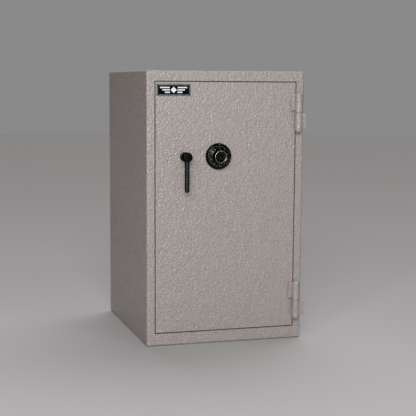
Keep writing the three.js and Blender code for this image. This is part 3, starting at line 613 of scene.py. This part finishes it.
bm = bmesh.new()
screw_x = cover_high.x - COVER_SCREW_INSET
lowest = cover_low.z + COVER_SCREW_INSET
spacing = (cover_high.z - cover_low.z - 2 * COVER_SCREW_INSET) / 4
screw_spots = [(x, lowest + i * spacing) for i in range(5) for x in (-screw_x, screw_x)]
screw_spots += [(0, lowest), (0, lowest + 4 * spacing)]
for x, z in screw_spots:
    add_screw(bm, (x, cover_high.y, z), (0, 1, 0), 4.4 * MM, 2.4 * MM)
fit(finish_mesh("cover_screws", bm, [screw_steel]), "door", "zinc_steel")


# ---------------------------------------------------------------- hinges
# Each half is a turned steel barrel with a domed end and a flat leaf welded to it. The lower
# half's leaf wraps round the corner on to the cabinet's side. The halves turn on a steel pin
# with a thin washer between them, and are painted with the body.

BARREL = 12.0
BARREL_EASE = 1.1
DOME = 10.0
BORE = 6.3
BORE_DEPTH = 9.0
HALF_WASHER = 1.3
LEAF = 8 * MM
LEAF_FOOT, LEAF_TOP = 6 * MM, 56 * MM
WRAP_TOP, WRAP_FOOT = 5 * MM, 51 * MM
DOOR_CLEARANCE = 0.7 * MM
FRAME_CLEARANCE = 0.2 * MM
BURIED = 6 * MM
AXIS_X, AXIS_Y = frame["joints"][0]["pos_m"][:2]


def add_barrel(split, far_end, up):
    """A bored barrel that runs from the split to its domed end, up (1) or down (-1)."""
    end = abs(far_end - split) / MM - DOME
    profile = [(0, BORE_DEPTH), (BORE, BORE_DEPTH), (BORE, HALF_WASHER)]
    profile += [(BARREL - BARREL_EASE, HALF_WASHER), (BARREL, HALF_WASHER + BARREL_EASE), (BARREL, end)]
    profile += [(BARREL * cos(i * pi / 16), end + DOME * sin(i * pi / 16)) for i in range(1, 8)]
    profile.append((0, end + DOME))
    return turned([(r, up * h) for r, h in profile], (AXIS_X, AXIS_Y, split), (0, 0, 1), steps=56)


for hinge in ("lower_hinge", "upper_hinge"):
    pin_low, pin_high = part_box(f"{hinge}_pin")
    split = (pin_low.z + pin_high.z) / 2
    door_low, door_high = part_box(f"{hinge}_door_leaf")
    side_low, side_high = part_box(f"{hinge}_frame_leaf")
    dice = random.Random(len(hinge))

    bm = add_barrel(split, door_high.z, 1)
    leaf_rear = FRONT - DOOR_CLEARANCE
    plate = add_block(bm, (door_low.x, FRONT - LEAF, split + LEAF_FOOT),
                      (AXIS_X - BURIED, leaf_rear, split + LEAF_TOP))
    ease_edges(bm, 1.4 * MM, among={e for v in plate for e in v.link_edges})
    weld_y = FRONT - 0.4 * MM
    for z in (split + LEAF_FOOT + 0.5 * MM, split + LEAF_TOP - 0.5 * MM):
        add_weld(bm, (door_low.x + 3 * MM, weld_y, z), (AXIS_X - 11 * MM, weld_y, z), 1.7 * MM, dice)
    fit(finish_mesh(f"{hinge}_upper_half", bm, [body_paint]), "door", "body_paint", f"{hinge}_door_leaf")

    bm = add_barrel(split, side_low.z, -1)
    top, foot = split - WRAP_TOP, split - WRAP_FOOT
    leaf_rear = FRONT - FRAME_CLEARANCE
    add_block(bm, (AXIS_X + BURIED, FRONT - LEAF, foot), (side_high.x, leaf_rear, top))
    bmesh.ops.bisect_plane(bm, geom=list(bm.verts) + list(bm.edges) + list(bm.faces),
                           plane_co=(jacket_high.x + 0.3 * MM, 0, 0), plane_no=(1, 0, 0))
    wing = [f for f in bm.faces
            if all(abs(v.co.y - leaf_rear) < 1e-5 and v.co.x > jacket_high.x for v in f.verts)]
    grown = bmesh.ops.extrude_face_region(bm, geom=wing)["geom"]
    bmesh.ops.delete(bm, geom=wing, context="FACES")
    bmesh.ops.translate(bm, verts=[v for v in grown if isinstance(v, bmesh.types.BMVert)],
                        vec=(0, side_high.y - leaf_rear, 0))
    past_barrel = AXIS_X + BURIED - MM
    bmesh.ops.dissolve_limit(bm, angle_limit=radians(1),
                             verts=[v for v in bm.verts if v.co.x > past_barrel],
                             edges=[e for e in bm.edges if min(v.co.x for v in e.verts) > past_barrel])
    leaf_edges = [e for e in bm.edges if min(v.co.x for v in e.verts) > past_barrel
                  and e.is_manifold and e.calc_face_angle(0) > radians(70)
                  and max((v.co.xy - Vector((AXIS_X, AXIS_Y))).length for v in e.verts) > 12.5 * MM]
    round_edges(bm, leaf_edges, 1.8 * MM, 3, clamp=True)
    weld_x = side_high.x - LEAF
    for z in (top - 0.5 * MM, foot + 0.5 * MM):
        add_weld(bm, (weld_x, FRONT + 8 * MM, z), (weld_x, side_high.y - 4 * MM, z), 1.8 * MM, dice)
    fit(finish_mesh(f"{hinge}_lower_half", bm, [body_paint]), "cabinet", "body_paint",
        f"{hinge}_frame_leaf")

    fit(finish_mesh(f"{hinge}_washer_ring", eased_copy(f"{hinge}_washer", 0.3 * MM), [body_paint]),
        "cabinet", "body_paint", f"{hinge}_washer")
    fit(finish_mesh(f"{hinge}_steel_pin", eased_copy(f"{hinge}_pin", 0.8 * MM), [zinc_steel]),
        "cabinet", "zinc_steel", f"{hinge}_pin")


# ---------------------------------------------------------------- maker's plate
# A thin pressed plate with a raised silvery border round a black field, and a plain
# geometric device. Four small dark pins hold it to the door.

def plate_enamel(name, dark, pale, spread, rough_low, rough_high, grain, **sockets):
    material, tree, shader = new_material(name, **sockets)
    cloud = noise(tree, object_place(tree), grain, 4.0)
    shade = remap(tree, cloud, 0.5 - spread, 0.5 + spread)
    tree.links.new(mix_colours(tree, shade, dark, pale), shader.inputs["Base Color"])
    tree.links.new(remap(tree, cloud, 0.3, 0.7, rough_low, rough_high), shader.inputs["Roughness"])
    return material


plate_silver = plate_enamel("plate_border", (0.10, 0.118, 0.12, 1), (0.20, 0.225, 0.23, 1), 0.15,
                            0.35, 0.5, 210.0, Metallic=0.55, Specular_IOR_Level=0.5)
plate_black = plate_enamel("plate_field", (0.001, 0.001, 0.001, 1), (0.003, 0.003, 0.0035, 1), 0.5,
                           0.12, 0.22, 300.0, Specular_IOR_Level=0.2)
plate_white = plate_enamel("plate_device", (0.62, 0.64, 0.68, 1), (0.82, 0.85, 0.90, 1), 0.5,
                           0.3, 0.42, 400.0, Specular_IOR_Level=0.5)

PLATE_CORNER = 3.2 * MM
PLATE_EDGE = 0.5 * MM
PLATE_BORDER = 4.3 * MM
BORDER_STEP = 2.6 * MM
FIELD_DEPTH = 0.6 * MM
PIN_INSET = 4 * MM
plate_low, plate_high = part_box("nameplate")
plate_middle = (plate_low + plate_high) / 2
field_y = plate_low.y + FIELD_DEPTH


def plate_face(bm):
    return max(faces_at(bm, 1, plate_low.y), key=lambda f: f.calc_area())


bm = bmesh.new()
add_block(bm, plate_low, plate_high)
uprights = [e for e in bm.edges if abs(e.verts[0].co.y - e.verts[1].co.y) > MM]
round_edges(bm, uprights, PLATE_CORNER, 6)
round_edges(bm, list(plate_face(bm).edges), PLATE_EDGE, 2)
face = plate_face(bm)
bmesh.ops.inset_region(bm, faces=[face], thickness=BORDER_STEP)
bmesh.ops.remove_doubles(bm, verts=face.verts, dist=1.2 * MM)
face = plate_face(bm)
bmesh.ops.inset_region(bm, faces=[face], thickness=PLATE_BORDER - BORDER_STEP)
bmesh.ops.inset_region(bm, faces=[face], thickness=0.4 * MM)
bmesh.ops.translate(bm, verts=face.verts, vec=(0, FIELD_DEPTH, 0))
face.material_index = 1


def add_device(bm, x, z, width, height, turn=0.0):
    """A raised block of the plate's device. Its place and size are in millimetres."""
    spot = Vector((plate_middle.x + x * MM, field_y - 0.25 * MM, plate_middle.z + z * MM))
    size = Matrix.Diagonal((width * MM, 0.5 * MM, height * MM, 1))
    shape = Matrix.Translation(spot) @ Matrix.Rotation(turn, 4, "Y") @ size
    verts = bmesh.ops.create_cube(bm, size=1, matrix=shape)["verts"]
    for f in {f for v in verts for f in v.link_faces}:
        f.material_index = 2


add_device(bm, 0, 0, 13.5, 13.5, pi / 4)
for side in (-1, 1):
    for i, length in enumerate((30, 23, 16)):
        add_device(bm, side * (12.5 + length / 2 - i * 0.5), 7.2 - 7.2 * i, length, 3.7)
fit(finish_mesh("makers_plate", bm, [plate_silver, plate_black, plate_white]),
    "door", "plate_enamel", "nameplate")

dark_pin = plain_metal("plate_pin_steel", (0.012, 0.012, 0.013, 1), (0.035, 0.035, 0.036, 1), 0.3, 0.5)
bm = bmesh.new()
for x in (plate_low.x + PIN_INSET, plate_high.x - PIN_INSET):
    for z in (plate_low.z + PIN_INSET, plate_high.z - PIN_INSET):
        add_screw(bm, (x, plate_low.y, z), (0, -1, 0), 2.0 * MM, 1.0 * MM, slot=False)
fit(finish_mesh("makers_plate_pins", bm, [dark_pin]), "door", "plate_enamel")


# ---------------------------------------------------------------- lever handle
# A turned steel hub with a straight round-ended lever screwed into it, both in thick, dark
# black enamel. It turns in a bronzed collar fixed to the door. The hub's copy of the enamel is
# darker, a painted shade, and the lever's copy reflects more, a painted highlight.

def glossy_black(name, dark, pale, rough_low, rough_high, worn_share):
    material, tree, shader = new_material(name, Metallic=1.0, Specular_Tint=(0.03, 0.03, 0.03, 1))
    place = object_place(tree)
    peel = noise(tree, place, 520.0, 3.0)
    smear = noise(tree, place, 70.0, 5.0, 0.7)
    worn = place_group(tree, rubbed, Start=0.62, Reach=0.1, Patches=160.0)["Mask"]
    base = mix_colours(tree, smear, dark, pale)
    base = mix_colours(tree, maths(tree, "MULTIPLY", worn, worn_share), base, (0.2, 0.2, 0.21, 1))
    tree.links.new(base, shader.inputs["Base Color"])
    tree.links.new(remap(tree, smear, 0.3, 0.7, rough_low, rough_high), shader.inputs["Roughness"])
    connect_bump(tree, shader, peel, 0.03, 0.0001)
    return material


# Two copies of one enamel: the hub's is darker as painted shade, the lever's brighter as a painted
# highlight.
hub_enamel = glossy_black("hub_enamel", (0.008, 0.008, 0.009, 1), (0.014, 0.0145, 0.016, 1), 0.3, 0.38,
                          0.15)
lever_enamel = glossy_black("lever_enamel", (0.030, 0.033, 0.036, 1), (0.044, 0.047, 0.052, 1), 0.22,
                            0.28, 0.15)
collar_bronze = plain_metal("collar_bronze", (0.035, 0.028, 0.024, 1), (0.085, 0.07, 0.06, 1), 0.25, 0.4,
                            metallic=0.7)

hub_low, hub_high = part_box("handle_hub")
lever_low, lever_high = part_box("handle_lever")
HANDLE_X = (hub_low.x + hub_high.x) / 2
HANDLE_Z = frame["joints"][1]["pos_m"][2]
LEVER_Y = (lever_low.y + lever_high.y) / 2
LEVER_RADIUS = 7.3
LEVER_TIP = (HANDLE_Z - lever_low.z) / MM
LEVER_ROOT = 9.0

bm = turned([(8.6, 0.3), (14, 0.3), (14, 4), (13, 6), (11.6, 7.6), (8.6, 7.8), (8.6, 0.3)],
            (HANDLE_X, FRONT, HANDLE_Z), (0, -1, 0))
ease_edges(bm, 0.5 * MM)
fit(finish_mesh("handle_collar", bm, [collar_bronze]), "door", "black_enamel", "handle_rose")

bm = turned([(0, 25), (8.3, 25), (8.3, 8.3), (11.2, 8.3), (11.4, 20), (13.6, 23.5), (15.2, 27), (15.2, 43),
             (13.8, 46), (0, 47.3)], (HANDLE_X, FRONT, HANDLE_Z), (0, -1, 0))
ease_edges(bm, 1.3 * MM, segments=4, sharper_than=radians(14))
fit(finish_mesh("lever_hub", bm, [hub_enamel]), "lever_handle", "black_enamel", "handle_hub")

ball_centre = LEVER_TIP - LEVER_RADIUS
profile = [(0, -LEVER_ROOT), (LEVER_RADIUS, -LEVER_ROOT), (LEVER_RADIUS, -ball_centre)]
profile += [(LEVER_RADIUS * cos(i * pi / 16), -ball_centre - LEVER_RADIUS * sin(i * pi / 16))
            for i in range(1, 8)]
profile.append((0, -LEVER_TIP))
bm = turned(profile, (HANDLE_X, LEVER_Y, HANDLE_Z), (0, 0, 1), steps=48)
ease_edges(bm, 0.4 * MM, sharper_than=radians(50))
fit(finish_mesh("lever_arm", bm, [lever_enamel]), "lever_handle", "black_enamel", "handle_lever")


# ---------------------------------------------------------------- combination dial
# Moulded in glossy black plastic: a fixed ring, a sloping skirt with a hundred engraved
# and filled divisions, and a fluted knob with a bright trim ring round its cap. The trim
# ring's colour is dimmed and tinted green, a painted reflection.

dial_black = glossy_black("dial_black", (0.016, 0.016, 0.016, 1), (0.03, 0.03, 0.03, 1), 0.1, 0.22, 0.0)

dial_marking, tree, shader = new_material("dial_marking", Specular_IOR_Level=0.4)
fade = noise(tree, object_place(tree), 160.0, 4.0)
base = mix_colours(tree, remap(tree, fade, 0.35, 0.65), (0.18, 0.18, 0.17, 1), (0.40, 0.40, 0.385, 1))
tree.links.new(base, shader.inputs["Base Color"])
tree.links.new(remap(tree, fade, 0.3, 0.7, 0.4, 0.6), shader.inputs["Roughness"])

# The trim ring's chrome is dimmed and tinted green: a painted reflection of dark, greenish surroundings.
trim_chrome = plain_metal("trim_chrome", (0.27, 0.29, 0.23, 1), (0.40, 0.42, 0.34, 1), 0.15, 0.3, bump=0.03)

ring_low, ring_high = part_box("dial_ring")
DIAL_X = (ring_low.x + ring_high.x) / 2
DIAL_Z = (ring_low.z + ring_high.z) / 2
DIAL_CENTRE = (DIAL_X, FRONT, DIAL_Z)
OUT = (0, -1, 0)
SKIRT_OUTER, SKIRT_INNER = 33.0, 23.5
SKIRT_LOW, SKIRT_HIGH = 12.4, 18.4
SLOPE = atan2(SKIRT_HIGH - SKIRT_LOW, SKIRT_OUTER - SKIRT_INNER)

bm = turned([(8.6, 0.3), (40.5, 0.3), (40.5, 7), (39.4, 10.4), (37, 13), (34.6, 13.6), (34.6, 3), (8.6, 3),
             (8.6, 0.3)], DIAL_CENTRE, OUT, 96)
ease_edges(bm, 0.8 * MM, sharper_than=radians(16))
fit(finish_mesh("dial_rim", bm, [dial_black]), "door", "gloss_black_plastic", "dial_ring")

bm = turned([(4.6, 4), (33.8, 4), (33.8, 11.5), (SKIRT_OUTER, SKIRT_LOW), (SKIRT_INNER, SKIRT_HIGH),
             (4.6, SKIRT_HIGH), (4.6, 4)], DIAL_CENTRE, OUT, 96)
ease_edges(bm, 0.4 * MM, sharper_than=radians(20))
fit(finish_mesh("dial_cone", bm, [dial_black]), "dial", "gloss_black_plastic", "dial_skirt")

FLUTES = 24
FLUTE_DEPTH = 0.9 * MM
GRIP_SIDE = [(20.2, 18.7), (20.2, 20.5), (20.2, 22.5), (20.2, 24.5), (20.2, 26.5), (20.2, 28.4)]
GRIP_FACE = [(19.4, 30.5), (17.2, 30.5), (17, 32.1), (12.8, 30.5), (8, 31), (0, 31.3)]
bm = turned([(0, 18.7)] + GRIP_SIDE + GRIP_FACE, DIAL_CENTRE, OUT, FLUTES * 6)
for v in bm.verts:
    arm = Vector((v.co.x - DIAL_X, 0, v.co.z - DIAL_Z))
    if arm.length > 19.9 * MM and FRONT - v.co.y > 19.5 * MM:
        v.co -= arm.normalized() * FLUTE_DEPTH * (0.5 + 0.5 * cos(FLUTES * atan2(arm.x, arm.z))) ** 2
ease_edges(bm, 0.35 * MM, sharper_than=radians(40))
fit(finish_mesh("dial_grip", bm, [dial_black]), "dial", "gloss_black_plastic", "dial_knob")

bm = turned([(17.1, 30.6), (19.2, 30.6), (19.2, 31.9), (18.7, 32.6), (18, 32.8), (17.4, 32.5), (17.1, 32.1),
             (17.1, 30.6)], DIAL_CENTRE, OUT, 96)
ease_edges(bm, 0.25 * MM, sharper_than=radians(25))
fit(finish_mesh("dial_bright_ring", bm, [trim_chrome]), "dial", "bright_chrome", "dial_trim_ring")


def on_skirt(angle, radius, lift=0.02):
    """The frame of a mark on the sloping skirt: X runs clockwise and Y away from the knob."""
    fall = (SKIRT_OUTER - radius) / (SKIRT_OUTER - SKIRT_INNER)
    height = SKIRT_LOW + fall * (SKIRT_HIGH - SKIRT_LOW) + lift
    along = Vector((cos(angle), 0, -sin(angle)))
    away = Vector((sin(angle) * cos(SLOPE), sin(SLOPE), cos(angle) * cos(SLOPE)))
    spot = Vector(DIAL_CENTRE) + Vector((sin(angle) * radius, -height, cos(angle) * radius)) * MM
    return Matrix.Translation(spot) @ Matrix((along, away, along.cross(away))).transposed().to_4x4()


DIVISIONS = 100
MARK_OUTER = 32.7
NUMERAL_RADIUS = 26.7
bm = bmesh.new()
for i in range(DIVISIONS):
    length, width = (3.6, 0.5) if i % 10 == 0 else (2.9, 0.36) if i % 5 == 0 else (2.1, 0.26)
    bar = Matrix.Diagonal((width * MM, length * MM, 0.12 * MM, 1))
    bar_place = on_skirt(2 * pi * i / DIVISIONS, MARK_OUTER) @ Matrix.Translation((0, -length / 2 * MM, 0))
    bmesh.ops.create_cube(bm, size=1, matrix=bar_place @ bar)
for i in range(0, DIVISIONS, 10):
    letters = bpy.data.curves.new("numeral", "FONT")
    letters.body = str(i)
    letters.size = 3.9 * MM
    letters.extrude = 0.06 * MM
    letters.align_x, letters.align_y = "CENTER", "CENTER"
    holder = bpy.data.objects.new("numeral", letters)
    scene.collection.objects.link(holder)
    flat = bpy.data.meshes.new_from_object(holder.evaluated_get(bpy.context.evaluated_depsgraph_get()))
    flat.transform(on_skirt(2 * pi * i / DIVISIONS, NUMERAL_RADIUS))
    bm.from_mesh(flat)
    bpy.data.objects.remove(holder)
    bpy.data.meshes.remove(flat)
markings = finish_mesh("dial_divisions", bm, [dial_marking], smooth_below=radians(30))
fit(markings, "dial", "gloss_black_plastic")

INDEX_SIZE = 1.5 * MM
index_place = Matrix.Translation(Vector(DIAL_CENTRE) + Vector((0, -13.35, 36.2)) * MM)
index_turn = Matrix.Rotation(pi / 2, 4, "X") @ Matrix.Rotation(pi, 4, "Z")
bm = bmesh.new()
bmesh.ops.create_cone(bm, cap_ends=True, segments=3, radius1=INDEX_SIZE, radius2=INDEX_SIZE, depth=0.3 * MM,
                      matrix=index_place @ index_turn)
index = finish_mesh("dial_index", bm, [dial_marking], smooth_below=radians(30))
fit(index, "door", "gloss_black_plastic")


# ---------------------------------------------------------------- boltwork and lock
# Inside the door, behind the cover: the plate, the carrier and its bolts, the crank, and
# the lock's case, wheels, cam, lever and bolt. Sheared, drilled, turned or milled metal.

INSIDE = {
    "zinc_steel": (zinc_steel, {
        "door": ("boltwork_plate", "lock_case", "lock_cover",
                 "dead_bolt_lower", "dead_bolt_middle", "dead_bolt_upper"),
        "boltwork": ("bolt_carrier",),
        "lever_handle": ("handle_spindle", "handle_crank"),
        "dial": ("dial_spindle",),
    }),
    "lock_brass": (lock_brass, {
        "door": ("dial_spindle_tube", "handle_bush", "guide_stud_lower", "guide_stud_upper", "wheel_post"),
        "dial": ("drive_cam",),
        "front_wheel": ("wheel_front",),
        "middle_wheel": ("wheel_middle",),
        "rear_wheel": ("wheel_rear",),
        "lock_slide": ("lock_bolt", "lock_lever"),
    }),
    "bright_chrome": (bolt_chrome, {
        "boltwork": ("live_bolt_lower", "live_bolt_middle", "live_bolt_upper"),
    }),
}
EASED_BY = {"dead": 1.2, "live": 1.4, "lock": 0.5}
for slot, (material, by_body) in INSIDE.items():
    for body, nodes in by_body.items():
        for node in nodes:
            bm = eased_copy(node, EASED_BY.get(node[:4], 0.35) * MM)
            fit(finish_mesh(f"{node}_made", bm, [material]), body, slot, node)
